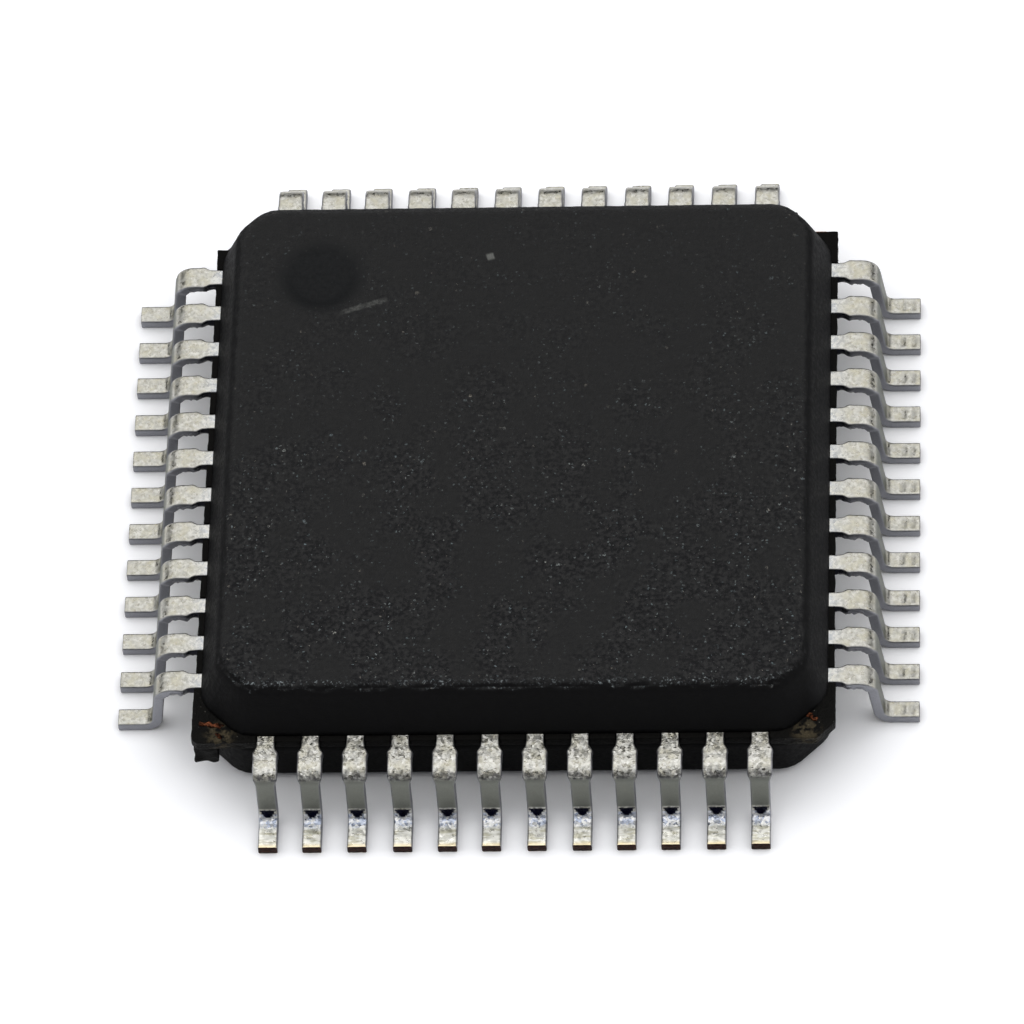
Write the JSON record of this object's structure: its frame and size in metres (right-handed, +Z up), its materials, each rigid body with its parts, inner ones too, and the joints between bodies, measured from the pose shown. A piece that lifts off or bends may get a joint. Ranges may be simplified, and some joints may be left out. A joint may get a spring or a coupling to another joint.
{
  "type": "quad flat pack chip",
  "caption": "Square black moulded chip with bent gull-wing leads along every side, a round dimple at the first lead, and its die, paddle and bond wires inside.",
  "frame": {"origin": "under the middle of the body, on the plane that the feet stand on", "axes": "+Z up from the board through the top of the package; the first lead is at the -X side, at its +Y end, and the leads count anticlockwise seen from above"},
  "size_m": [0.009, 0.009, 0.0015],
  "materials": {
    "moulding_compound": "matt fine grain, as eroded by the mould",
    "tin_plated_copper": "matt tin plating on bent copper strip",
    "frame_copper": "bare rolled copper alloy",
    "die_adhesive": "cured silver-filled epoxy",
    "silicon": "sawn silicon with a polished face",
    "gold_wire": "drawn wire"
  },
  "bodies": {
    "root": {"mould_body": "moulding_compound", "lead_01": "tin_plated_copper", "lead_02": "tin_plated_copper", "lead_03": "tin_plated_copper", "lead_04": "tin_plated_copper", "lead_05": "tin_plated_copper", "lead_06": "tin_plated_copper", "lead_07": "tin_plated_copper", "lead_08": "tin_plated_copper", "lead_09": "tin_plated_copper", "lead_10": "tin_plated_copper", "lead_11": "tin_plated_copper", "lead_12": "tin_plated_copper", "lead_13": "tin_plated_copper", "lead_14": "tin_plated_copper", "lead_15": "tin_plated_copper", "lead_16": "tin_plated_copper", "lead_17": "tin_plated_copper", "lead_18": "tin_plated_copper", "lead_19": "tin_plated_copper", "lead_20": "tin_plated_copper", "lead_21": "tin_plated_copper", "lead_22": "tin_plated_copper", "lead_23": "tin_plated_copper", "lead_24": "tin_plated_copper", "lead_25": "tin_plated_copper", "lead_26": "tin_plated_copper", "lead_27": "tin_plated_copper", "lead_28": "tin_plated_copper", "lead_29": "tin_plated_copper", "lead_30": "tin_plated_copper", "lead_31": "tin_plated_copper", "lead_32": "tin_plated_copper", "lead_33": "tin_plated_copper", "lead_34": "tin_plated_copper", "lead_35": "tin_plated_copper", "lead_36": "tin_plated_copper", "lead_37": "tin_plated_copper", "lead_38": "tin_plated_copper", "lead_39": "tin_plated_copper", "lead_40": "tin_plated_copper", "lead_41": "tin_plated_copper", "lead_42": "tin_plated_copper", "lead_43": "tin_plated_copper", "lead_44": "tin_plated_copper", "lead_45": "tin_plated_copper", "lead_46": "tin_plated_copper", "lead_47": "tin_plated_copper", "lead_48": "tin_plated_copper", "die_paddle": "frame_copper", "die_attach": "die_adhesive", "silicon_die": "silicon", "bond_wires_left": "gold_wire", "bond_wires_front": "gold_wire", "bond_wires_right": "gold_wire", "bond_wires_back": "gold_wire"}
  },
  "joints": []
}
